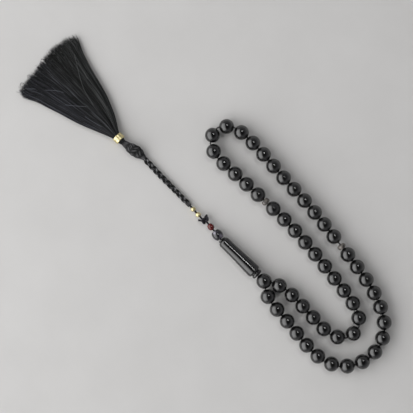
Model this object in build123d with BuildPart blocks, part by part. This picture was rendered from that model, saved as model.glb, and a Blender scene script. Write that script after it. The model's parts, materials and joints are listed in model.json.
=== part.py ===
from build123d import *
import math
import os

# Misbaha: fifty-one round beads in three sets of seventeen, with an imame, a braided cord and a tassel.
#
# The object lies on the plane Z = 0. The origin is on that plane, under the end bead where the two strands
# of the loop meet. The loop lies towards +X, and the imame, the braid and the tassel lie towards -X.
# All lengths are in millimetres.

# Beads and string
bead_diameter = 8.0
bead_gap = 0.2  # free space between neighbouring beads where the string is straight
bend_gap = 1.0  # how much further apart beads stand where the string bends, times the sine of half the turn
beads_per_set = 17
shared_with_next = (13, 15)  # places in a set whose bead is in one file with the next bead
bore_radius = 0.6
bore_chamfer = 0.25
string_radius = 0.4
end_bead_diameter = 8.2

# Separators: flat rounded beads after the first and the second set
separator_diameter = 4.4
separator_length = 2.6
separator_edge = 0.9

# Imame: distances along its axis from the centre of the end bead
imame_tilt = 1.6  # degrees below the horizontal, towards the tassel
foot_start = 4.45
foot_end = 6.25
foot_radius = 3.05
foot_edge = 0.75  # how much narrower the foot is at its face
foot_groove_radius = 2.4
body_start = 6.45
body_corner = (0.3, 0.5)  # the rounding of the body's lower rim, along the axis and across it
body_widest_at = 7.6
body_radius = 3.7
body_outline = [(12.5, 3.6), (19, 3.3), (24.5, 3.14)]  # distance along the axis and radius
body_outline_slopes = ((1, 0.02), (1, -0.03))
shoulder_at = 29.4
shoulder_radius = 3.1
shoulder_corner = (0.35, 0.5)
body_end = 30.8
neck_end = 31.7
neck_radius = 2.0
neck_edge = 0.4

# Small beads above the imame, on the same string: distances along it, as for the imame
string_turn = 6.5  # degrees towards +Y, where the string leaves the imame
string_turn_at = 31.95
top_bead_start = 32.2
top_bead_end = 37.4
top_bead_radius = 2.85
top_bead_end_radius = 2.1
red_bead_start = 38.6
red_bead_end = 42.1
red_bead_radius = 1.75
red_bead_end_radius = 1.25
small_bead_corner = 0.3
knot_at = 45.2
string_knot_radius = 1.9
thread_offset = 0.9  # the tail's thread leaves the knot this far to the -Y side of its centre
running_gap = 0.1

# Tail: a thread with two gold beads, then the braided cord
gold_bead_places = (4.5, 8.5)  # along the thread's line from beside the string knot's centre
gold_bead_diameters = (2.9, 2.7)
tail_thread_radius = 0.45
braid_diameter = 2.9
braid_route = [
    (-56.2, 1.3, 1.5),
    (-68.0, 1.6, 1.5),
    (-80.0, 1.8, 1.6),
    (-91.8, 2.4, 1.75),
]

# Tassel group
collar_start = -106.7
collar_length = 3.3
collar_diameter = 5.7
collar_bore_diameter = 4.5
collar_groove = 0.25
tassel_axis_y = 0.6
neck_radius_in_collar = 2.2
neck_start = -104.8

# Braided knot: (X, Y, half width, half height, height of the middle)
knot_sections = [
    (-92.5, 2.35, 0.8, 0.8, 1.75),
    (-95.2, 2.05, 2.5, 2.3, 2.5),
    (-98.0, 1.7, 2.95, 2.7, 2.95),
    (-101.4, 1.15, 2.3, 2.15, 2.9),
    (-104.7, 0.7, 1.7, 1.7, 2.85),
]

# Tassel skirt, a flat fan resting on the plane: (X, Y, half width, half height)
skirt_sections = [
    (-113.7, 1.3, 5.3, 2.4),
    (-119.0, 1.7, 7.6, 2.35),
    (-129.0, 1.8, 10.8, 2.2),
    (-141.0, 2.1, 13.7, 1.95),
    (-154.0, 1.5, 18.1, 1.65),
    (-166.0, 1.4, 21.6, 1.3),
]
floor_gap = 0.02

# The way the string lies, from the end bead round the loop and back to it
loop_route = [
    (0, 0),
    (7.2, 4.4),
    (15.5, 5.1),
    (27.5, 4.6),
    (39.0, 3.9),
    (45.5, 3.9),
    (51.5, 6.8),
    (55.0, 12.6),
    (53.2, 19.2),
    (47.0, 23.2),
    (38.8, 25.2),
    (26.5, 27.0),
    (10, 29.1),
    (-6, 30.6),
    (-22, 31.0),
    (-41, 30.4),
    (-58.0, 29.8),
    (-66.0, 29.8),
    (-72.6, 32.6),
    (-76.0, 39.5),
    (-71.8, 46.4),
    (-64.0, 48.3),
    (-47.5, 48.1),
    (-31, 46.5),
    (-15, 45.7),
    (1.5, 43.9),
    (21, 41.3),
    (38, 38.5),
    (46.5, 36.4),
    (54.3, 33.2),
    (61.4, 29.0),
    (66.6, 22.4),
    (68.9, 14.1),
    (67.6, 5.4),
    (63.4, -1.8),
    (56.6, -7.1),
    (48.0, -8.9),
    (31.5, -7.7),
    (15.5, -5.9),
    (7.0, -5.0),
    (0, 0),
]
straight_enough = 0.4  # degrees: the string has no corner where it turns less than this
layout_rounds = 6
halvings = 22


def lay_items(curve, half_lengths):
    """Lays items end to end along the curve, the first one centred on the curve's start.

    The string runs straight through each item and turns between two of them. A corner stands further from
    its two items the more it turns, so that round beads keep clear of each other. Returns the corners, with
    the start first, and the items' centres and directions.
    """
    count = len(half_lengths)
    turns = [0.0] * (count + 1)
    for _ in range(layout_rounds):
        reaches = [(bend_gap * math.sin(turn / 2) / 2, math.cos(turn / 2)) for turn in turns]
        corners = [curve.position_at(0)]
        parameter = 0.0
        for index, half in enumerate(half_lengths):
            run = (half + reaches[index + 1][0]) / reaches[index + 1][1]
            if index > 0:
                run += (half + reaches[index][0]) / reaches[index][1]
            low, high = parameter, parameter + 2 * run / curve.length
            for _ in range(halvings):
                middle = (low + high) / 2
                if (curve.position_at(middle) - corners[-1]).length < run:
                    low = middle
                else:
                    high = middle
            parameter = low
            corners.append(curve.position_at(parameter))
        directions = [(after - before).normalized() for before, after in zip(corners, corners[1:])]
        bends = [math.radians(a.get_angle(b)) for a, b in zip(directions, directions[1:])]
        turns = [0.0] + bends + [0.0]
    centres = [corners[0]]
    for index in range(1, count):
        reach = (half_lengths[index] + reaches[index][0]) / reaches[index][1]
        centres.append(corners[index] + directions[index] * reach)
    return corners, centres, directions


def tube_radii(points, free_length, largest_share=0.45):
    """The arc's radius at each inner point: its tangent is free_length, or a share of the shorter run."""
    radii = []
    for before, corner, after in zip(points, points[1:], points[2:]):
        half_turn = math.radians((corner - before).get_angle(after - corner)) / 2
        shorter = min((corner - before).length, (after - corner).length)
        reach = free_length + bead_diameter / 2 * (1 / math.cos(half_turn) - 1)
        tangent = min(reach, largest_share * shorter)
        radii.append(tangent / math.tan(half_turn))
    return radii


def report_tube(name, solid, path, radius, radii):
    """Prints a tube's arcs and compares its volume with its section times its length."""
    expected = math.pi * radius**2 * path.length
    print(name, "length", round(path.length, 2), "volume", round(solid.volume, 2), "of", round(expected, 2))
    print(name, "radii", [round(value, 1) for value in radii])


def write(part, name):
    """Labels a finished piece and writes its file."""
    part.label = name
    export_step(part, f"parts/{name}.step")


def round_bead(plane, diameter):
    """A drilled ball whose bore runs along the plane's normal, with both mouths chamfered."""
    with BuildPart(plane) as bead:
        Sphere(diameter / 2)
        Cylinder(bore_radius, diameter, mode=Mode.SUBTRACT)
        chamfer(bead.edges().filter_by(GeomType.CIRCLE), bore_chamfer)
    return bead.part


def turned_bead(plane, start, end, end_radius, radius):
    """A barrel bead on the plane's X axis from start to end, bulging from end_radius to radius."""
    rim = end_radius - small_bead_corner
    belly_start = start + small_bead_corner
    belly_end = end - small_bead_corner
    with BuildPart() as bead:
        with BuildSketch(plane):
            with BuildLine():
                Polyline((belly_start, end_radius), (start, rim), (start, bore_radius), (end, bore_radius),
                         (end, rim), (belly_end, end_radius))
                ThreePointArc((belly_end, end_radius), ((start + end) / 2, radius), (belly_start, end_radius))
            make_face()
        revolve(axis=Axis(plane.origin, plane.x_dir))
    return bead.part


def across(x, y, z):
    """A plane square to the X axis at a point, with its own X axis level."""
    return Plane(origin=(x, y, z), x_dir=(0, 1, 0), z_dir=(-1, 0, 0))


os.makedirs("parts", exist_ok=True)

# ---- Where the beads lie ----

bead_half = (bead_diameter + bead_gap) / 2
separator_half = (separator_length + bead_gap) / 2
end_half = (end_bead_diameter + bead_gap) / 2
string_height = bead_diameter / 2
route = [Vector(x, y, string_height) for x, y in loop_route]
junction = route[0]
outward_curve = Edge.make_spline(route)
returning_curve = Edge.make_spline(route[::-1])

one_set = [bead_half] * beads_per_set
first_corners, first_centres, first_directions = lay_items(
    outward_curve, [end_half] + one_set + [separator_half] + one_set
)
last_corners, last_centres, last_directions = lay_items(
    returning_curve, [end_half] + one_set + [separator_half]
)
spare_string = (first_corners[-1] - last_corners[-1]).length
print("spare string before the second separator", round(spare_string, 2))

first_places = [Plane(origin=c, z_dir=d) for c, d in zip(first_centres, first_directions)]
last_places = [Plane(origin=c, z_dir=-d) for c, d in zip(last_centres, last_directions)]
separator_places = [first_places[beads_per_set + 1], last_places[-1]]
bead_places = first_places[1:beads_per_set + 1] + first_places[beads_per_set + 2:] + last_places[-2:0:-1]

# ---- Counting beads: one node each, but two neighbours share a node twice in each set ----

bead_nodes = {}
number = 1
while number <= 3 * beads_per_set:
    place_in_set = (number - 1) % beads_per_set + 1
    if place_in_set in shared_with_next:
        bead_nodes[f"beads_{number:02d}_{number + 1:02d}"] = bead_places[number - 1:number + 1]
        number += 2
    else:
        bead_nodes[f"bead_{number:02d}"] = bead_places[number - 1:number]
        number += 1

for node_name, places in bead_nodes.items():
    with BuildPart() as counting_beads:
        for place in places:
            add(round_bead(place, bead_diameter))
    write(counting_beads.part, node_name)

for number, place in enumerate(separator_places, start=1):
    with BuildPart(place) as separator:
        Cylinder(separator_diameter / 2, separator_length)
        fillet(separator.edges().filter_by(GeomType.CIRCLE), separator_edge)
        Cylinder(bore_radius, separator_length, mode=Mode.SUBTRACT)
    write(separator.part, f"separator_{number}")

# ---- Imame group: the axis leaves the junction towards -X and falls a little ----

tilt = math.radians(imame_tilt)
imame_axis = Vector(-math.cos(tilt), 0, -math.sin(tilt))
imame_plane = Plane(origin=junction, x_dir=imame_axis, z_dir=(0, 1, 0))
imame_mouth = junction + imame_axis * (end_bead_diameter / 2 + running_gap)

with BuildPart() as end_bead:
    with Locations((0, 0, end_bead_diameter / 2)):
        Sphere(end_bead_diameter / 2)
    for mouth in (first_corners[1], last_corners[1], imame_mouth):
        with BuildSketch(Plane(origin=junction, z_dir=mouth - junction)):
            Circle(bore_radius)
        extrude(amount=end_bead_diameter, mode=Mode.SUBTRACT)
write(end_bead.part, "end_bead")

foot_face = (foot_start, foot_radius - foot_edge)
groove_start = (foot_end, foot_groove_radius)
groove_end = (body_start, foot_groove_radius)
body_rim = (body_start + body_corner[0], body_radius - body_corner[1])
body_belly = (body_widest_at, body_radius)
shoulder = (shoulder_at, shoulder_radius)
shoulder_rim = (body_end - shoulder_corner[0], shoulder_radius - shoulder_corner[1])
neck_foot = (body_end, neck_radius - neck_edge)
neck_face = (neck_end, neck_radius - neck_edge)
with BuildPart() as imame:
    with BuildSketch(imame_plane):
        with BuildLine():
            Polyline(neck_face, (neck_end, bore_radius), (foot_start, bore_radius), foot_face)
            ThreePointArc(foot_face, ((foot_start + foot_end) / 2, foot_radius), groove_start)
            Line(groove_start, groove_end)
            ThreePointArc(groove_end, body_rim, body_belly)
            Spline(body_belly, *body_outline, shoulder, tangents=body_outline_slopes)
            ThreePointArc(shoulder, shoulder_rim, neck_foot)
            ThreePointArc(neck_foot, ((body_end + neck_end) / 2, neck_radius), neck_face)
        make_face()
    revolve(axis=Axis(junction, imame_axis))
write(imame.part, "imame")

string_corner = junction + imame_axis * string_turn_at
upper_axis = imame_axis.rotate(Axis.Z, -string_turn)
upper_origin = string_corner - upper_axis * string_turn_at
upper_plane = Plane(origin=upper_origin, x_dir=upper_axis, z_dir=upper_axis.cross(Vector(0, 0, 1)))
top_bead = turned_bead(upper_plane, top_bead_start, top_bead_end, top_bead_end_radius, top_bead_radius)
write(top_bead, "top_bead")
red_bead = turned_bead(upper_plane, red_bead_start, red_bead_end, red_bead_end_radius, red_bead_radius)
write(red_bead, "red_bead")

string_foot = junction + imame_axis * foot_start
string_top = upper_origin + upper_axis * (knot_at - string_knot_radius)
string_bend_radius = (top_bead_start - neck_end) / 2 / math.tan(math.radians(string_turn) / 2)
with BuildLine() as imame_string_path:
    FilletPolyline(string_foot, string_corner, string_top, radius=string_bend_radius)
string_wire = imame_string_path.wires()[0]
with BuildPart() as imame_string:
    with BuildSketch(Plane(origin=string_foot, z_dir=imame_axis)):
        Circle(string_radius)
    sweep(path=string_wire)
report_tube("imame_string", imame_string.part, string_wire, string_radius, [string_bend_radius])
write(imame_string.part, "imame_string")

string_knot_centre = upper_origin + upper_axis * knot_at
with BuildPart(Plane(origin=string_knot_centre)) as string_knot:
    Sphere(string_knot_radius)
write(string_knot.part, "string_knot")

# ---- Loop string: out of the end bead, through every bead and back into it ----

middle_of_spare = (first_corners[-1] + last_corners[-1]) / 2
all_corners = first_corners[1:-1] + [middle_of_spare] + last_corners[-2:0:-1]
string_points = [junction + imame_axis * (end_bead_diameter / 2), junction]
for corner, following in zip(all_corners, all_corners[1:] + [junction]):
    if (corner - string_points[-1]).get_angle(following - corner) > straight_enough:
        string_points.append(corner)
string_points.append((all_corners[-1] + junction) / 2)

string_radii = tube_radii(string_points, bead_gap / 2 + bore_chamfer)
with BuildLine() as string_path:
    FilletPolyline(string_points, radius=string_radii)
with BuildPart() as swept_string:
    with BuildSketch(Plane(origin=string_points[0], z_dir=-imame_axis)):
        Circle(string_radius)
    sweep(path=string_path.wires()[0])
report_tube("loop_string", swept_string.part, string_path.wires()[0], string_radius, string_radii)
with BuildPart() as loop_string:
    add(swept_string.part)
    with BuildSketch(Plane(origin=string_points[-1], z_dir=junction - string_points[-1])):
        Circle(string_radius)
    extrude(amount=(junction - string_points[-1]).length)
write(loop_string.part, "loop_string")

# ---- Tail: thread with two gold beads, and the braided cord ----

braid_points = [Vector(*point) for point in braid_route]
thread_origin = string_knot_centre - Vector(0, thread_offset, 0)
thread_axis = (braid_points[0] - thread_origin).normalized()
thread_start = thread_origin + thread_axis * (string_knot_radius + running_gap)
with BuildPart() as tail_thread:
    with BuildSketch(Plane(origin=thread_start, z_dir=thread_axis)):
        Circle(tail_thread_radius)
    extrude(amount=(braid_points[0] - thread_start).length - running_gap)
write(tail_thread.part, "tail_thread")

with BuildPart() as gold_beads:
    for along, diameter in zip(gold_bead_places, gold_bead_diameters):
        add(round_bead(Plane(origin=thread_origin + thread_axis * along, z_dir=thread_axis), diameter))
write(gold_beads.part, "gold_beads")

braid_radii = tube_radii(braid_points, math.inf)
with BuildLine() as braid_path:
    FilletPolyline(braid_points, radius=braid_radii)
with BuildPart() as braid:
    with BuildSketch(Plane(origin=braid_points[0], z_dir=braid_points[1] - braid_points[0])):
        Circle(braid_diameter / 2)
    sweep(path=braid_path.wires()[0])
report_tube("braid", braid.part, braid_path.wires()[0], braid_diameter / 2, braid_radii)
write(braid.part, "braid")

# ---- Tassel group: braided knot, gold collar and the threads' skirt ----

with BuildPart() as braid_knot:
    for x, y, half_width, half_height, height in knot_sections:
        with BuildSketch(across(x, y, height)):
            Ellipse(half_width, half_height)
    loft()
write(braid_knot.part, "braid_knot")

collar_height = collar_diameter / 2
collar_end = collar_start - collar_length
with BuildPart(across(collar_start - collar_length / 2, tassel_axis_y, collar_height)) as collar:
    Cylinder(collar_diameter / 2, collar_length)
    fillet(collar.edges().filter_by(GeomType.CIRCLE), collar_groove)
    Torus(collar_diameter / 2 + collar_groove / 2, collar_groove, mode=Mode.SUBTRACT)
    Cylinder(collar_bore_diameter / 2, collar_length, mode=Mode.SUBTRACT)
write(collar.part, "collar")

with BuildPart() as tassel:
    with BuildSketch(across(neck_start, tassel_axis_y, collar_height)):
        Circle(neck_radius_in_collar)
    extrude(amount=neck_start - collar_end)
    with BuildSketch(across(collar_end, tassel_axis_y, collar_height)):
        Circle(neck_radius_in_collar)
    for x, y, half_width, half_height in skirt_sections:
        with BuildSketch(across(x, y, half_height + floor_gap)):
            Ellipse(half_width, half_height)
    loft(ruled=True)
write(tassel.part, "tassel")
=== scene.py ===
import json
import math

import bpy
import numpy as np
from mathutils import Matrix, Vector


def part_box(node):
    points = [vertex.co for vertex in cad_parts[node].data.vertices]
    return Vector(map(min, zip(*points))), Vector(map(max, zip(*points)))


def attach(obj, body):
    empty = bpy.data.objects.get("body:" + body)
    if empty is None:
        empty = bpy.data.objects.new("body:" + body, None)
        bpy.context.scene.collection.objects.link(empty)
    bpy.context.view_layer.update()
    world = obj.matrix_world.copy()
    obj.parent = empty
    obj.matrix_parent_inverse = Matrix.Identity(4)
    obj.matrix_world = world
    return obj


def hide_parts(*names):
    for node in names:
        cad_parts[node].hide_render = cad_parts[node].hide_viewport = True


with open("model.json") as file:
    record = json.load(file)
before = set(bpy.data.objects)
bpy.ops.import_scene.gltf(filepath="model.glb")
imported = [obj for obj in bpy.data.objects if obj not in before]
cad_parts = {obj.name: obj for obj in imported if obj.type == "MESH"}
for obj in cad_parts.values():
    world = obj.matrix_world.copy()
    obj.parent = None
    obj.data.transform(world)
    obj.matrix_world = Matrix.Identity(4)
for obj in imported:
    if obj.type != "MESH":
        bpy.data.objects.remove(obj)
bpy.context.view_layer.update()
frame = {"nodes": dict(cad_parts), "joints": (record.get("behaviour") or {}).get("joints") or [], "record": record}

# A misbaha laid on a pale floor, seen from straight above. Metres, in the CAD frame: +X from the tassel to
# the loop, +Z up. The beads, imame and collar are the CAD nodes. The strings, knots, braid and tassel are
# built here from yarns, in place of their CAD nodes.

SCENE = bpy.context.scene
MM = 0.001
FULL_TURN = 2 * math.pi
rng = np.random.default_rng(33)

# ---- Camera: straight above, turned so that the tassel is at the upper left ----

VIEW_CENTRE = (-0.0495, 0.0071)
VIEW_WIDTH = 0.2193
VIEW_TURN = math.radians(44.2)
LENS = 85.0
SENSOR = 36.0
BEAD_HEIGHT = 0.004

camera_data = bpy.data.cameras.new("camera")
camera_data.lens = LENS
camera_data.sensor_width = SENSOR
camera = bpy.data.objects.new("camera", camera_data)
camera.location = (*VIEW_CENTRE, VIEW_WIDTH * LENS / SENSOR + BEAD_HEIGHT)
camera.rotation_euler = (0, 0, VIEW_TURN)
SCENE.collection.objects.link(camera)
SCENE.camera = camera
SCENE.view_settings.view_transform = "Standard"


# ---- Geometry helpers ----

# A path that starts steeper than this, as the Z part of its direction, takes its first side from +Y
STEEP = 0.9
# Each tube's yarn pattern starts up to this far along it, in millimetres
PATTERN_START = 10


def link(name, mesh):
    """A new object in the scene with that mesh."""
    made = bpy.data.objects.new(name, mesh)
    SCENE.collection.objects.link(made)
    return made


def read_route(route, resolution=16):
    """Points along the smooth NURBS curve whose control points are the route's."""
    curve = bpy.data.curves.new("route", "CURVE")
    curve.dimensions = "3D"
    curve.resolution_u = resolution
    spline = curve.splines.new("NURBS")
    spline.points.add(len(route) - 1)
    for point, place in zip(spline.points, route):
        point.co = (*place, 1)
    spline.order_u = 3
    spline.use_endpoint_u = True
    guide = link("route", curve)
    mesh = bpy.data.meshes.new_from_object(guide)
    points = np.array([vertex.co for vertex in mesh.vertices], float)
    bpy.data.objects.remove(guide)
    bpy.data.curves.remove(curve)
    bpy.data.meshes.remove(mesh)
    return points


def lengths_along(points):
    """The distance of each point from the first one, along the line."""
    return np.concatenate([[0.0], np.cumsum(np.linalg.norm(np.diff(points, axis=0), axis=1))])


def resample(points, spacing):
    """The same line with its points about that far apart, all evenly spaced."""
    along = lengths_along(points)
    at = np.linspace(0, along[-1], max(2, int(along[-1] / spacing) + 1))
    return np.stack([np.interp(at, along, points[:, axis]) for axis in range(3)], axis=1)


def unit(vectors):
    """The same directions, each of length 1."""
    return vectors / np.maximum(np.linalg.norm(vectors, axis=-1, keepdims=True), 1e-12)


def frames(paths):
    """Tangents and two cross directions along each path, carried along without twist. paths is (P, n, 3)."""
    tangents = unit(np.gradient(paths, axis=1))
    steep = np.abs(tangents[:, 0, 2:3]) > STEEP
    side = np.where(steep, np.array([[0.0, 1.0, 0.0]]), np.array([[0.0, 0.0, 1.0]]))
    normals = []
    for index in range(paths.shape[1]):
        tangent = tangents[:, index]
        side = unit(side - (side * tangent).sum(1, keepdims=True) * tangent)
        normals.append(side)
    normals = np.stack(normals, axis=1)
    return tangents, normals, np.cross(tangents, normals)


def tubes(name, paths, radius, sides, shades):
    """One mesh of closed tubes, one along each path. Its UV map runs round and along each tube.

    radius and shades are one value, one for each tube as a column, or one for each point of each tube.
    """
    paths = np.asarray(paths, float)
    count, points, _ = paths.shape
    radii = np.broadcast_to(np.asarray(radius, float), (count, points))
    _, normals, binormals = frames(paths)
    turn = np.arange(sides) * FULL_TURN / sides
    ring = np.cos(turn)[:, None] * normals[:, :, None, :] + np.sin(turn)[:, None] * binormals[:, :, None, :]
    vertices = paths[:, :, None, :] + radii[:, :, None, None] * ring
    index = np.arange(count * points * sides).reshape(count, points, sides)
    near, far = index[:, :-1], index[:, 1:]
    quads = np.stack([near, np.roll(near, -1, 2), np.roll(far, -1, 2), far], -1)
    caps = np.concatenate([index[:, 0, ::-1], index[:, -1]])
    mesh = bpy.data.meshes.new(name)
    mesh.from_pydata(vertices.reshape(-1, 3).tolist(), [], quads.reshape(-1, 4).tolist() + caps.tolist())
    around = np.broadcast_to(np.arange(sides) / sides, (count, points - 1, sides))
    steps = np.linalg.norm(np.diff(paths, axis=1), axis=2)
    start = np.concatenate([np.zeros((count, 1)), np.cumsum(steps, axis=1)], axis=1) / MM
    start = start + rng.uniform(0, PATTERN_START, (count, 1))
    low = np.broadcast_to(start[:, :-1, None], around.shape)
    high = np.broadcast_to(start[:, 1:, None], around.shape)
    step = 1 / sides
    corners = np.stack([around, low, around + step, low, around + step, high, around, high], -1)
    uv = mesh.uv_layers.new(name="yarn")
    values = np.zeros(len(mesh.loops) * 2)
    values[:corners.size] = corners.reshape(-1)
    uv.uv.foreach_set("vector", values)
    shade = np.broadcast_to(np.asarray(shades, float), (count, points))
    attribute = mesh.attributes.new("shade", "FLOAT", "POINT")
    attribute.data.foreach_set("value", np.repeat(shade.reshape(-1), sides))
    mesh.shade_smooth()
    return link(name, mesh)


def plied(path, count, offset, pitch, phase=0.0):
    """Paths of several plies twisted round one path: offset from it, one turn in each pitch."""
    _, normals, binormals = frames(path[None])
    turn = lengths_along(path) / pitch * FULL_TURN + phase
    paths = []
    for ply in range(count):
        angle = (turn + ply * FULL_TURN / count)[:, None]
        paths.append(path + offset * (np.cos(angle) * normals[0] + np.sin(angle) * binormals[0]))
    return np.stack(paths)


def joined(name, parts):
    """Joins several objects into one."""
    with bpy.context.temp_override(active_object=parts[0], selected_editable_objects=parts):
        bpy.ops.object.join()
    parts[0].name = name
    return parts[0]


# ---- Materials ----

# Most of a noise texture's values are between these
NOISE_RANGE = (0.3, 0.7)
# A polished surface's wear and waviness. Their grains are multiples of its mottling's grain.
WEAR_GRAIN = 2.7
WAVE_GRAIN = 0.8
WAVE_STRENGTH = 0.12
WAVE_DEPTH = 0.04 * MM
# A yarn's filaments, with painted shade in the grooves between them
FILAMENT_DEPTH = 0.06 * MM
FILAMENT_STRENGTH = 0.7
FILAMENT_SHADE = 0.05
SHEEN_ROUGHNESS = 0.35
# The places in Y between which a tinted yarn takes on its second light colour, a painted colour cast of the light
PAINTED_CAST_FROM_TO = (6 * MM, -6 * MM)


def new_material(name):
    """A material, its Principled shader and its node tree."""
    material = bpy.data.materials.new(name)
    material.use_nodes = True
    tree = material.node_tree
    return material, tree.nodes["Principled BSDF"], tree


def noise(tree, scale, detail=4.0):
    """A noise texture in object coordinates, at a scale in cells per metre."""
    coordinates = tree.nodes.new("ShaderNodeTexCoord")
    texture = tree.nodes.new("ShaderNodeTexNoise")
    texture.inputs["Scale"].default_value = scale
    texture.inputs["Detail"].default_value = detail
    tree.links.new(coordinates.outputs["Object"], texture.inputs["Vector"])
    return texture.outputs["Fac"]


def ramp(tree, source, stops):
    """A colour ramp over a value. stops are (place, colour)."""
    node = tree.nodes.new("ShaderNodeValToRGB")
    elements = node.color_ramp.elements
    for _ in range(len(stops) - 2):
        elements.new(0.5)
    for element, (place, colour) in zip(elements, stops):
        element.position = place
        element.color = (*colour, 1)
    tree.links.new(source, node.inputs["Fac"])
    return node.outputs["Color"]


def remap(tree, source, before, after):
    """A value whose range is changed from before to after."""
    node = tree.nodes.new("ShaderNodeMapRange")
    for end, low_and_high in (("From", before), ("To", after)):
        node.inputs[f"{end} Min"].default_value = low_and_high[0]
        node.inputs[f"{end} Max"].default_value = low_and_high[1]
    tree.links.new(source, node.inputs["Value"])
    return node.outputs["Result"]


def maths(tree, operation, *values):
    """The result of a math node. Each value is a number or another node's output."""
    node = tree.nodes.new("ShaderNodeMath")
    node.operation = operation
    for socket, value in zip(node.inputs, values):
        if isinstance(value, bpy.types.NodeSocket):
            tree.links.new(value, socket)
        else:
            socket.default_value = value
    return node.outputs[0]


def bump(tree, shader, source, strength, distance):
    """Raises the shader's surface by a value."""
    node = tree.nodes.new("ShaderNodeBump")
    node.inputs["Strength"].default_value = strength
    node.inputs["Distance"].default_value = distance
    tree.links.new(source, node.inputs["Height"])
    tree.links.new(node.outputs["Normal"], shader.inputs["Normal"])


def polished(
    name, dark, light, roughness, grain, metallic=0.0, ior=1.5, transmission=0.0, edges=(0.35, 0.68),
):
    """A polished surface: mottled colour, uneven gloss and the faintest waviness.

    edges are the noise values at which the dark colour ends and the light one begins.
    """
    material, shader, tree = new_material(name)
    shader.inputs["Metallic"].default_value = metallic
    shader.inputs["IOR"].default_value = ior
    shader.inputs["Transmission Weight"].default_value = transmission
    colour = ramp(tree, noise(tree, grain), [(edges[0], dark), (edges[1], light)])
    tree.links.new(colour, shader.inputs["Base Color"])
    wear = noise(tree, grain * WEAR_GRAIN, detail=6.0)
    tree.links.new(remap(tree, wear, NOISE_RANGE, roughness), shader.inputs["Roughness"])
    bump(tree, shader, noise(tree, grain * WAVE_GRAIN, detail=2.0), WAVE_STRENGTH, WAVE_DEPTH)
    return material


def painted_cast_colour(tree, colour, tint):
    """One colour that turns into another towards -Y: a painted colour cast of the light."""
    place = tree.nodes.new("ShaderNodeTexCoord")
    split = tree.nodes.new("ShaderNodeSeparateXYZ")
    tree.links.new(place.outputs["Object"], split.inputs["Vector"])
    mix = tree.nodes.new("ShaderNodeMix")
    mix.data_type = "RGBA"
    tree.links.new(remap(tree, split.outputs["Y"], PAINTED_CAST_FROM_TO, (0.0, 1.0)), mix.inputs["Factor"])
    tree.links.new(colour, mix.inputs["A"])
    tree.links.new(tint, mix.inputs["B"])
    return mix.outputs["Result"]


def yarn(name, dark, light, lay, roughness=0.55, specular=0.25, tint=None):
    """Twisted thread: fine filaments that wind round each tube, read from its UV map, and a shade per thread.

    lay is how many filaments are round the tube and how many turns they make in a millimetre. tint is a
    second light colour, which the threads take on towards -Y: a painted colour cast of the light.
    """
    filaments, turns = lay
    material, shader, tree = new_material(name)
    shader.inputs["Roughness"].default_value = roughness
    shader.inputs["Specular IOR Level"].default_value = specular
    shader.inputs["Sheen Weight"].default_value = 0.04
    shader.inputs["Sheen Roughness"].default_value = SHEEN_ROUGHNESS
    uv = tree.nodes.new("ShaderNodeUVMap")
    uv.uv_map = "yarn"
    split = tree.nodes.new("ShaderNodeSeparateXYZ")
    tree.links.new(uv.outputs["UV"], split.inputs["Vector"])
    around = maths(tree, "MULTIPLY", split.outputs["X"], filaments * FULL_TURN)
    along = maths(tree, "MULTIPLY_ADD", split.outputs["Y"], turns * FULL_TURN, around)
    height = remap(tree, maths(tree, "SINE", along), (-1.0, 1.0), (0.0, 1.0))
    bump(tree, shader, height, FILAMENT_STRENGTH, FILAMENT_DEPTH)
    shade = tree.nodes.new("ShaderNodeAttribute")
    shade.attribute_name = "shade"
    # Painted shade: the grooves between filaments are drawn a little darker than their crests
    total = maths(tree, "MULTIPLY_ADD", height, FILAMENT_SHADE, shade.outputs["Fac"])
    colour = ramp(tree, total, [(0.0, dark), (1.0, light)])
    # The tint is a painted colour cast of the light, stronger towards -Y
    if tint:
        colour = painted_cast_colour(tree, colour, ramp(tree, total, [(0.0, dark), (1.0, tint)]))
    tree.links.new(colour, shader.inputs["Base Color"])
    return material


black_stone = polished(
    "black_stone", dark=(0.003, 0.003, 0.0035), light=(0.007, 0.0068, 0.0066),
    roughness=(0.09, 0.15), grain=420, ior=1.72,
)
grey_stone = polished(
    "grey_stone", dark=(0.006, 0.006, 0.008), light=(0.17, 0.158, 0.2),
    roughness=(0.1, 0.2), grain=330, metallic=0.25, ior=1.8, edges=(0.45, 0.62),
)
separator_stone = polished(
    "separator_stone", dark=(0.03, 0.027, 0.024), light=(0.2, 0.18, 0.16),
    roughness=(0.2, 0.34), grain=900, ior=1.6,
)
red_glass = polished(
    "red_glass", dark=(0.05, 0.003, 0.003), light=(0.16, 0.01, 0.008),
    roughness=(0.1, 0.22), grain=900, transmission=0.1,
)
gold_metal = polished(
    "gold_metal", dark=(0.62, 0.53, 0.27), light=(0.86, 0.78, 0.46),
    roughness=(0.28, 0.4), grain=1500, metallic=1.0,
)
string_yarn = yarn("string_yarn", dark=(0.003, 0.003, 0.0035), light=(0.045, 0.043, 0.055), lay=(4, 1.4))
braid_yarn = yarn(
    "braid_yarn", dark=(0.0015, 0.0015, 0.0017), light=(0.3, 0.3, 0.31), lay=(3, 1.1),
    roughness=0.45, specular=0.15,
)
# The tassel's threads take on a painted bluish cast of the light towards -Y
tassel_yarn = yarn(
    "tassel_yarn", dark=(0.0022, 0.0022, 0.0022), light=(0.115, 0.12, 0.119), lay=(2, 0.8),
    specular=0.12, tint=(0.12, 0.125, 0.15),
)


def dress(piece, material, body):
    """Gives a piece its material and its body."""
    piece.data.materials.clear()
    piece.data.materials.append(material)
    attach(piece, body)
    return piece


# The CAD nodes that stay take the finish of their record slot, but the separators have a stone of their own
finishes = {
    "black_stone": black_stone,
    "grey_stone": grey_stone,
    "red_glass": red_glass,
    "gold_metal": gold_metal,
}
slots = {part["node"]: part["material_slot"] for part in frame["record"]["subparts"]}
for node_name, node in frame["nodes"].items():
    if slots[node_name] in finishes:
        separator = node_name.startswith("separator_")
        node.data.materials.clear()
        node.data.materials.append(separator_stone if separator else finishes[slots[node_name]])
        node.data.shade_smooth()

# ---- Braid: a free cord of three strands, plaited flat ----

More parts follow.
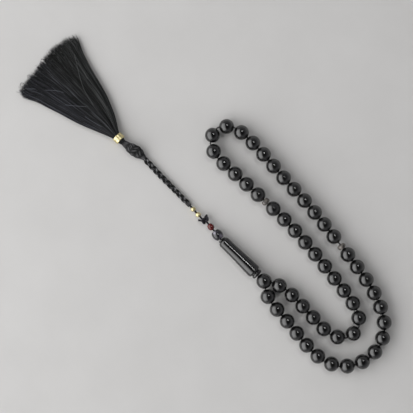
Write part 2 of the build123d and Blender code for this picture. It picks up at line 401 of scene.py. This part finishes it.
BRAID_ROUTE = [
    (-0.0562, 0.0013, 0.0015),
    (-0.0680, 0.0016, 0.0015),
    (-0.0800, 0.0018, 0.0016),
    (-0.0918, 0.0024, 0.00175),
]
BRAID_STEP = 0.22 * MM
PLAIT_STRANDS = 3
PLAIT_PITCH = 10.5 * MM
PLAIT_DEPTH = 0.5 * MM
# How far the strands swing to each side, at shares of the braid's length from the gold beads to the knot
PLAIT_AT = [0, 0.07, 0.5, 0.94, 1]
PLAIT_REACH = np.array([0.5, 0.85, 0.95, 1.0, 0.35]) * MM
# Each strand is five yarns twisted round a sixth
STRAND_RADIUS = 0.62 * MM
STRAND_YARNS = 5
STRAND_TWIST = 5 * MM
YARN_OFFSET = 0.62 * STRAND_RADIUS
YARN_RADIUS = 0.42 * STRAND_RADIUS

braid_line = resample(read_route(BRAID_ROUTE), BRAID_STEP)
braid_along = lengths_along(braid_line)
_, braid_up, braid_side = frames(braid_line[None])
plait_reach = np.interp(braid_along / braid_along[-1], PLAIT_AT, PLAIT_REACH)
braid_yarns, braid_shades = [], []
for strand in range(PLAIT_STRANDS):
    turn = braid_along / PLAIT_PITCH * FULL_TURN + strand * FULL_TURN / PLAIT_STRANDS
    strand_line = (
        braid_line
        + (plait_reach * np.sin(turn))[:, None] * braid_side[0]
        + (PLAIT_DEPTH * np.sin(2 * turn))[:, None] * braid_up[0]
    )
    braid_yarns.append(plied(strand_line, STRAND_YARNS, YARN_OFFSET, STRAND_TWIST, phase=strand))
    braid_yarns.append(strand_line[None])
    # The yarns are lighter where the strand passes over the others: a painted highlight on the strands' crests
    painted_crest_highlight = np.clip(np.sin(2 * turn), 0, 1) ** 4
    braid_shades.append(rng.uniform(0.0, 1.0, (STRAND_YARNS + 1, 1)) ** 1.5 * painted_crest_highlight)
braid = tubes("braid_plait", np.concatenate(braid_yarns), YARN_RADIUS, 8, np.concatenate(braid_shades))
dress(braid, braid_yarn, "tail")
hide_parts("braid")

# The braid's end is wrapped with thread where it meets the gold beads' thread
WHIP_TURNS = 6
WHIP_TURN_POINTS = 20
WHIP_LENGTH = 2.2 * MM
WHIP_RADIUS = 0.62 * MM
WHIP_SWELL = 0.3 * MM
WHIP_THREAD = 0.22 * MM
WHIP_SHADE = 0.12
# The wrapping's axis runs from the first point of the braid's line to this one
WHIP_AXIS_END = 8

whip_at = np.linspace(0, 1, WHIP_TURNS * WHIP_TURN_POINTS)
whip_axis = unit(braid_line[WHIP_AXIS_END] - braid_line[0])
whip_side = unit(np.cross(whip_axis, [0, 0, 1]))
whip_angle = (whip_at * WHIP_TURNS * FULL_TURN)[:, None]
whip_radius = (WHIP_RADIUS + WHIP_SWELL * np.sin(whip_at * math.pi))[:, None]
whip_line = (
    braid_line[0]
    + whip_axis * (whip_at * WHIP_LENGTH)[:, None]
    + whip_radius * (np.cos(whip_angle) * whip_side + np.sin(whip_angle) * np.cross(whip_axis, whip_side))
)
whipping = tubes("braid_whipping", whip_line[None], WHIP_THREAD, 7, WHIP_SHADE)
dress(whipping, braid_yarn, "tail")

# ---- Strings: two plies twisted together ----

PLY_RADIUS = 0.2 * MM
# Above the end bead the string is doubled, so it is thicker
DOUBLED_PLY = 0.27 * MM
# Each ply is a little thicker than its offset, so that the two press together
PLY_PRESS = 1.08
PLY_SHADES = [[0.1], [0.3]]
STRING_TWIST = 1.7 * MM
STRING_STEP = 0.16 * MM


def string(name, line, radius, body, node_name):
    """A two-ply string along a line, in the place of a CAD node."""
    plies = plied(resample(line, STRING_STEP), 2, radius, STRING_TWIST)
    made = dress(tubes(name, plies, radius * PLY_PRESS, 7, PLY_SHADES), string_yarn, body)
    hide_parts(node_name)


def items_of(node_name):
    """The centre of each solid in a sliding node, in order along its joint's axis, with that axis."""
    joint = next(j for j in frame["joints"] if j["child"] == node_name)
    axis = np.array(joint["axis"], float)
    points = np.array([vertex.co for vertex in frame["nodes"][node_name].data.vertices], float)
    middle = (points.min(0) + points.max(0)) / 2
    if not node_name.startswith("beads_"):
        return [(middle, axis)]
    side = (points - middle) @ axis
    halves = [points[side < 0], points[side > 0]]
    return [((half.min(0) + half.max(0)) / 2, axis) for half in halves]


def middle_of(node_name):
    """The middle of a node's box."""
    low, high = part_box(node_name)
    return np.array((low + high) / 2)


def joint_line(joint_name):
    """A joint's place and its axis' direction."""
    joint = next(j for j in frame["joints"] if j["name"] == joint_name)
    return np.array(joint["pos_m"], float), np.array(joint["axis"], float)


def string_order(node_name):
    """Where a node comes along the thread. The first separator comes after bead 17.

    The second one ties with bead 35 and comes after it, one bead too late, so the thread doubles back there.
    """
    if node_name.startswith("separator"):
        return 17.5 * int(node_name[-1])
    return int(node_name.split("_")[1])


# The thread's route has two points in each bead and separator, this share of its half length from the middle
STRAIGHT_SHARE = 0.8
BEAD_HALF = 4.0
SEPARATOR_HALF = 1.3

junction = middle_of("end_bead")
on_loop = [name for name in frame["nodes"] if name.startswith(("bead_", "beads_", "separator_"))]
loop_line = [junction]
for node_name in sorted(on_loop, key=string_order):
    half_length = SEPARATOR_HALF if node_name.startswith("separator") else BEAD_HALF
    reach = STRAIGHT_SHARE * half_length * MM
    for centre, axis in items_of(node_name):
        loop_line += [centre - axis * reach, centre + axis * reach]
loop_line.append(junction)
string("loop_thread", read_route(loop_line, 8), PLY_RADIUS, "loop", "loop_string")

# The string turns where it leaves the imame, half a top bead and a small gap before that bead's middle
TOP_BEAD_HALF = 2.6 * MM
MOUTH_GAP = 0.25 * MM
CORNER_REACH = 1.0 * MM

knot_centre = middle_of("string_knot")
top_middle, upper_axis = joint_line("top_bead_spin")
imame_axis = joint_line("imame_spin")[1]
imame_pivot = joint_line("imame_swing")[0]
corner = top_middle - upper_axis * (TOP_BEAD_HALF + MOUTH_GAP)
imame_line = read_route([
    imame_pivot,
    corner - imame_axis * CORNER_REACH * 2,
    corner - imame_axis * CORNER_REACH,
    corner,
    corner + upper_axis * CORNER_REACH,
    corner + upper_axis * CORNER_REACH * 2,
    knot_centre,
])
string("imame_thread", imame_line, DOUBLED_PLY, "imame_group", "imame_string")

# The tail's cord runs from inside the string knot, this far before the gold beads' middle, to the braid
TAIL_CORD_REACH = 6.0 * MM
gold_middle, thread_axis = joint_line("gold_beads_spin")
tail_line = np.array([gold_middle - thread_axis * TAIL_CORD_REACH, BRAID_ROUTE[0]])
string("tail_cord", tail_line, DOUBLED_PLY, "tail", "tail_thread")

# ---- String knot: an overhand knot with two short loose ends ----

KNOT_STRAND = 0.58 * MM
KNOT_SIZE = np.array([0.72, 0.66, 0.5]) * MM
KNOT_POINTS = 140
KNOT_STEP = 0.2 * MM
KNOT_TWIST = 2.4 * MM
KNOT_PLY_SHADES = [[0.15], [0.55], [0.3]]
# The two loose ends, from the knot's centre, in millimetres
LOOSE_ENDS = [
    [(0.2, -0.8, 0.6), (-0.9, -1.6, 0.8), (-1.7, -2.1, 0.2), (-2.3, -2.6, -0.7)],
    [(0.3, 0.8, 0.6), (0.0, 1.5, 0.7), (-0.6, 2.0, 0.1), (-1.3, 2.3, -0.8)],
]

turn = np.linspace(0, FULL_TURN, KNOT_POINTS)
trefoil = np.stack([
    -np.sin(3 * turn) * 1.5,
    np.sin(turn) + 2 * np.sin(2 * turn),
    np.cos(turn) - 2 * np.cos(2 * turn),
], axis=1)
knot_lines = [knot_centre + trefoil * KNOT_SIZE]
knot_lines += [read_route(knot_centre + np.array(end) * MM) for end in LOOSE_ENDS]
knot_parts = []
for line in knot_lines:
    plies = plied(resample(line, KNOT_STEP), 3, 0.5 * KNOT_STRAND, KNOT_TWIST)
    knot_parts.append(tubes("knot_part", plies, 0.52 * KNOT_STRAND, 7, KNOT_PLY_SHADES))
overhand_knot = dress(joined("overhand_knot", knot_parts), string_yarn, "imame_group")
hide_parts("string_knot")

# ---- Braided knot: sixteen strands woven round a barrel, over two and under two ----

# Along the knot from the braid to the collar: X, Y and height of the middle, half width, half height. The
# first rows are a round end about the place where the knot swings on the braid, so that it looks the same as
# it turns.
KNOT_PROFILE = np.array([
    (-90.95, 2.4, 1.75, 0.35, 0.35),
    (-91.4, 2.4, 1.75, 0.98, 0.98),
    (-92.1, 2.4, 1.75, 1.2, 1.2),
    (-93.4, 2.25, 2.15, 1.9, 1.75),
    (-95.2, 2.1, 2.6, 2.65, 2.3),
    (-97.0, 1.9, 2.9, 2.9, 2.6),
    (-99.0, 1.55, 3.0, 2.75, 2.5),
    (-101.0, 1.2, 2.95, 2.25, 2.15),
    (-103.0, 0.9, 2.9, 1.45, 1.45),
    (-105.2, 0.65, 2.85, 1.25, 1.25),
]) * MM
PROFILE_POINTS = 90
SMOOTHING_ROUNDS = 8
STRANDS_EACH_WAY = 8
WEAVE_TURN = 0.27 / MM
WEAVE_DEPTH = 0.24 * MM
# Each strand is three yarns side by side, which spread less where the knot is narrow
WOVEN_YARN_GAP = 0.42 * MM
WOVEN_YARN_RADIUS = 0.21 * MM
NARROW_KNOT = 1.6 * MM
LOWEST_YARN = 0.25 * MM
CORE_SHARE = 0.84

at = np.linspace(0, 1, PROFILE_POINTS)
rows = np.linspace(0, 1, len(KNOT_PROFILE))
profile = np.stack([np.interp(at, rows, column) for column in KNOT_PROFILE.T], axis=1)
for _ in range(SMOOTHING_ROUNDS):
    profile[1:-1] = (profile[:-2] + 2 * profile[1:-1] + profile[2:]) / 4
distance_along = KNOT_PROFILE[0, 0] - profile[:, 0]
weave = STRANDS_EACH_WAY * WEAVE_TURN * distance_along / 2 - math.pi / 4
yarn_angle = WOVEN_YARN_GAP / np.maximum(profile[:, 3], NARROW_KNOT)
knot_yarns, knot_shades = [], []
for way in (1, -1):
    lift = way * WEAVE_DEPTH * np.cos(weave)
    # Painted highlight: each yarn is drawn lighter where it passes over and darker where it dips under
    painted_over_highlight = (0.5 + 0.5 * way * np.cos(weave)) ** 3
    for strand in range(STRANDS_EACH_WAY):
        strand_angle = way * WEAVE_TURN * distance_along + strand * FULL_TURN / STRANDS_EACH_WAY
        for yarn_at in (-1, 0, 1):
            angle = strand_angle + yarn_at * yarn_angle
            knot_yarns.append(np.stack([
                profile[:, 0],
                profile[:, 1] + (profile[:, 3] + lift) * np.cos(angle),
                profile[:, 2] + (profile[:, 4] + lift) * np.sin(angle),
            ], axis=1))
            knot_shades.append(rng.uniform(0.02, 0.5) * painted_over_highlight)
knot_yarns = np.stack(knot_yarns)
knot_yarns[:, :, 2] = np.maximum(knot_yarns[:, :, 2], LOWEST_YARN)
knot_mesh = tubes("woven_yarns", knot_yarns, WOVEN_YARN_RADIUS, 6, np.stack(knot_shades))
knot_core = tubes("woven_core", profile[None, :, :3], CORE_SHARE * profile[:, 4], 24, 0.0)
woven_knot = dress(joined("woven_knot", [knot_mesh, knot_core]), braid_yarn, "tassel_group")
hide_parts("braid_knot")

# ---- Tassel: threads that leave the collar and fan out over the floor ----

# Sections of the bundle along it: X, middle Y, height of the middle, half width, half height
FAN = np.array([
    (-104.9, 0.6, 2.85, 1.35, 1.35),
    (-107.2, 0.6, 2.85, 1.95, 1.95),
    (-110.2, 0.6, 2.85, 2.1, 2.05),
    (-112.0, 0.85, 2.75, 2.9, 2.3),
    (-114.2, 1.2, 2.55, 4.1, 2.25),
    (-119.0, 1.7, 2.4, 6.5, 2.15),
    (-124.0, 1.8, 2.3, 8.6, 2.1),
    (-129.0, 1.9, 2.25, 10.6, 2.05),
    (-135.0, 1.9, 2.1, 12.4, 1.9),
    (-141.0, 1.9, 2.0, 14.0, 1.8),
    (-148.0, 1.8, 1.85, 16.1, 1.65),
    (-154.0, 1.8, 1.7, 17.9, 1.5),
    (-160.0, 1.5, 1.5, 20.6, 1.3),
    (-168.0, 1.4, 1.35, 21.8, 1.15),
]) * MM
# Where the threads end, from the -Y edge of the fan to the +Y edge
FRINGE_AT = [-1.0, -0.85, -0.7, -0.4, 0.0, 0.35, 0.6, 0.8, 1.0]
FRINGE_X = np.array([-160.6, -163.8, -164.8, -164.8, -166.0, -166.6, -166.0, -164.8, -163.4]) * MM
FRINGE_JITTER = 0.8 * MM
LOCK_DEPTH = 0.7 * MM
THREAD_POINTS = 34
THREAD_RADIUS = 0.165 * MM
TIP_POINTS = 5
TIP = np.concatenate([np.ones(THREAD_POINTS - TIP_POINTS), np.linspace(0.95, 0.5, TIP_POINTS)])
FLOOR_CLEARANCE = 0.03 * MM
# A thread's last millimetres splay sideways, and its depth in the bundle drifts
SPLAY = 0.9 * MM
DEPTH_DRIFT = 0.07
# The bundle keeps some thickness at its edges
THIN_EDGE = 0.04
# The layers of the bundle: name, number of threads, lowest and highest depth, and how far they wander
LAYERS = [
    ("tassel_under", 340, 0.0, 0.3, 0.04),
    ("tassel_inner", 400, 0.3, 0.78, 0.05),
    ("tassel_outer", 700, 0.78, 1.0, 0.04),
]
# The share of threads that carry painted highlights
LIT_SHARE = 0.42
BRIGHTEST = 0.9


def fan_at(x):
    """The bundle's middle, height, half width and half height at a place along it."""
    return [np.interp(-x, -FAN[:, 0], FAN[:, column]) for column in range(1, 5)]


def fringe_at(across):
    """Where threads end: along the fringe, in uneven locks, with some threads longer than the others."""
    count = len(across)
    end = np.interp(across, FRINGE_AT, FRINGE_X) + rng.normal(0, FRINGE_JITTER, count)
    locks = LOCK_DEPTH * np.sin(across * 31 + 1) * np.sin(across * 11)
    return end + locks + rng.gamma(1.0, FRINGE_JITTER, count)


def threads(count, radius, low, high, wander):
    """Paths of threads in a layer of the bundle between two depths, from 0 at the floor to 1 on top."""
    across = rng.uniform(-1, 1, count)
    depth = rng.uniform(low, high, count)
    share = np.linspace(0, 1, THREAD_POINTS)[None, :] ** 1.15
    x = FAN[0, 0] + (fringe_at(across)[:, None] - FAN[0, 0]) * share
    middle, height, half_width, half_height = fan_at(x)
    drift = rng.normal(0, wander, (count, 1)) * np.sin(share * math.pi * rng.uniform(0.6, 1.6, (count, 1)))
    swing = rng.normal(0, wander * 0.3, (count, 1)) * np.sin(
        share * rng.uniform(6, 16, (count, 1)) + rng.uniform(0, 6.28, (count, 1))
    ) * share
    s = np.clip(across[:, None] + drift + swing, -1.0, 1.0)
    thick = np.sqrt(np.maximum(1 - s * s, THIN_EDGE))
    level = (2 * depth[:, None] - 1) + rng.normal(0, DEPTH_DRIFT, (count, 1)) * np.sin(share * 9)
    y = middle + half_width * s + rng.normal(0, SPLAY, (count, 1)) * share ** 9
    z = np.maximum(height + half_height * thick * level, radius + FLOOR_CLEARANCE)
    return np.stack([x, y, z], axis=2)


def thread_shades(count):
    """A shade for each point. Over half of the threads are nearly black; the others carry painted highlights in
    stretches along them.
    """
    pace = rng.uniform(5, 20, (count, 1))
    stretches = np.linspace(0, 1, THREAD_POINTS) * pace + rng.uniform(0, 6, (count, 1))
    # Painted highlights: the lit threads are drawn lighter in stretches, where they would catch the light
    lit = (rng.random((count, 1)) < LIT_SHARE) * rng.uniform(0.1, 0.6, (count, 1))
    return rng.gamma(1.5, 0.02, (count, 1)) + lit * (0.6 + 0.4 * np.sin(stretches))


for layer_name, count, low, high, wander in LAYERS:
    paths = threads(count, THREAD_RADIUS, low, high, wander)
    widths = THREAD_RADIUS * rng.uniform(0.75, 1.2, (count, 1)) * TIP
    layer = tubes(layer_name, paths, widths, 6, np.clip(thread_shades(count), 0, BRIGHTEST))
    dress(layer, tassel_yarn, "tassel_group")
    if layer_name == "tassel_under":
        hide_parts("tassel")

# Single threads that lie across the others on top of the fan: X, Y in millimetres
LOOSE = [
    [(-130, 3.8), (-134, 4.7), (-139, 6.0), (-145, 9.0), (-151, 12.8), (-156.5, 16.3)],
    [(-132, 0.6), (-134, -0.8), (-138, -4.4), (-141, -6.4)],
    [(-146, -2.4), (-148.5, -3.6), (-151, -5.4), (-154, -8.2)],
    [(-158.5, -11.6), (-160, -12.9), (-161.8, -14.8)],
    [(-142, 11.6), (-147, 13.4), (-152, 14.2)],
    [(-119, -1.4), (-124, -2.8), (-129, -3.6)],
]
# Ends that curl past the fringe: X, Y and height in millimetres
CURLED = [
    [(-160, -12.5, 1.4), (-164.4, -13.6, 1.1), (-166.4, -14.2, 0.7), (-166.8, -15.3, 0.4),
     (-166.0, -15.9, 0.4)],
    [(-159, -15.5, 1.2), (-162.6, -16.8, 0.9), (-164.4, -17.8, 0.6), (-163.6, -18.7, 0.4)],
    [(-160, -7.5, 1.6), (-165.4, -8.0, 1.2), (-167.0, -8.8, 0.6), (-166.8, -9.8, 0.4)],
    [(-160, 3.5, 1.7), (-166.0, 3.2, 1.2), (-167.6, 2.4, 0.6), (-167.6, 1.5, 0.4)],
    [(-160, 9.0, 1.6), (-166.0, 9.4, 1.1), (-167.8, 10.0, 0.5)],
]
# The loose threads on top are drawn light, as painted highlights; the curled ends stay dark
LOOSE_SHADE = 0.85
CURLED_SHADE = 0.08
LOOSE_STEP = 0.5 * MM
LOOSE_RADIUS = 0.75 * THREAD_RADIUS
# Beyond this share of the half width, the fan's top is taken to be as high as it is there
EDGE_SHARE = 0.98


def lies_on_fan(line):
    """Gives points the height of the fan's top there."""
    flat = np.array(line) * MM
    middle, height, half_width, half_height = fan_at(flat[:, 0])
    s = np.clip((flat[:, 1] - middle) / half_width, -EDGE_SHARE, EDGE_SHARE)
    top = height + half_height * np.sqrt(1 - s * s) + THREAD_RADIUS * 1.5
    return np.column_stack([flat, top])


loose_lines = [(lies_on_fan(line), LOOSE_SHADE) for line in LOOSE]
loose_lines += [(np.array(line) * MM, CURLED_SHADE) for line in CURLED]
loose_parts = []
for points, shade in loose_lines:
    path = resample(read_route(points), LOOSE_STEP)
    loose_parts.append(tubes("loose_part", path[None], LOOSE_RADIUS, 6, shade))
dress(joined("tassel_loose", loose_parts), tassel_yarn, "tassel_group")

# ---- Stage: pale floor, soft light from the left, a small lamp above ----

FLOOR_HALF = 4.0
FLOOR_GRAIN = 30
FLOOR_COLOURS = [(0.3, (0.6, 0.592, 0.582)), (0.7, (0.63, 0.622, 0.612))]

floor_material, floor_shader, floor_tree = new_material("floor")
floor_shader.inputs["Roughness"].default_value = 0.75
floor_shader.inputs["Specular IOR Level"].default_value = 0.2
floor_colour = ramp(floor_tree, noise(floor_tree, FLOOR_GRAIN), FLOOR_COLOURS)
floor_tree.links.new(floor_colour, floor_shader.inputs["Base Color"])
floor_mesh = bpy.data.meshes.new("floor")
floor_signs = [(-1, -1), (1, -1), (1, 1), (-1, 1)]
floor_corners = [(across * FLOOR_HALF, along * FLOOR_HALF, 0) for across, along in floor_signs]
floor_mesh.from_pydata(floor_corners, [], [(0, 1, 2, 3)])
floor = link("floor", floor_mesh)
floor.data.materials.append(floor_material)


def lamp(name, across_view, up_view, zenith, distance, size, power, long_side=None):
    """An area lamp over the middle of the view, tilted towards a direction given in the view's own axes.

    Its first side is level, or along long_side.
    """
    data = bpy.data.lights.new(name, "AREA")
    data.shape = "RECTANGLE"
    data.size, data.size_y = size
    data.energy = power
    made = bpy.data.objects.new(name, data)
    right = Vector((math.cos(VIEW_TURN), math.sin(VIEW_TURN), 0))
    up = Vector((-math.sin(VIEW_TURN), math.cos(VIEW_TURN), 0))
    level = (right * across_view + up * up_view).normalized()
    away = level * math.sin(math.radians(zenith)) + Vector((0, 0, 1)) * math.cos(math.radians(zenith))
    side = Vector(long_side) if long_side else Vector((0, 0, 1)).cross(away)
    side = (side - away * side.dot(away)).normalized()
    made.location = Vector((*VIEW_CENTRE, 0)) + away * distance
    made.rotation_mode = "QUATERNION"
    made.rotation_quaternion = Matrix((side, away.cross(side), away)).transposed().to_quaternion()
    made.visible_camera = False
    SCENE.collection.objects.link(made)


# The softbox is nested lamps, so that its reflection fades towards the edge
SOFTBOX_WIDTH, SOFTBOX_HEIGHT = 2.9, 1.5
SOFTBOX_DISTANCE = 0.9
SOFTBOX_SPACING = 0.004
SOFTBOX_POWER = 34.0
SOFTBOX_SHARES = [1.0, 0.82, 0.64, 0.46]
for index, share in enumerate(SOFTBOX_SHARES):
    lamp(
        f"softbox_{index}", across_view=-1, up_view=-0.2, zenith=56,
        distance=SOFTBOX_DISTANCE - index * SOFTBOX_SPACING,
        size=(SOFTBOX_WIDTH * share, SOFTBOX_HEIGHT * share),
        power=SOFTBOX_POWER * share * share / len(SOFTBOX_SHARES),
    )
lamp(
    "strip_lamp", across_view=0.19, up_view=0.34, zenith=23, distance=1.1,
    size=(0.42, 0.06), power=1.7, long_side=(1, 0, 0),
)

# The sky is light at the horizon and dark overhead
SKY_COLOURS = [(0.0, (0.5, 0.5, 0.51)), (0.5, (0.3, 0.3, 0.31)), (0.9, (0.02, 0.02, 0.02))]
world = bpy.data.worlds.new("world")
SCENE.world = world
world.use_nodes = True
world_tree = world.node_tree
direction = world_tree.nodes.new("ShaderNodeTexCoord")
split = world_tree.nodes.new("ShaderNodeSeparateXYZ")
world_tree.links.new(direction.outputs["Generated"], split.inputs["Vector"])
sky = ramp(world_tree, split.outputs["Z"], SKY_COLOURS)
world_tree.links.new(sky, world_tree.nodes["Background"].inputs["Color"])
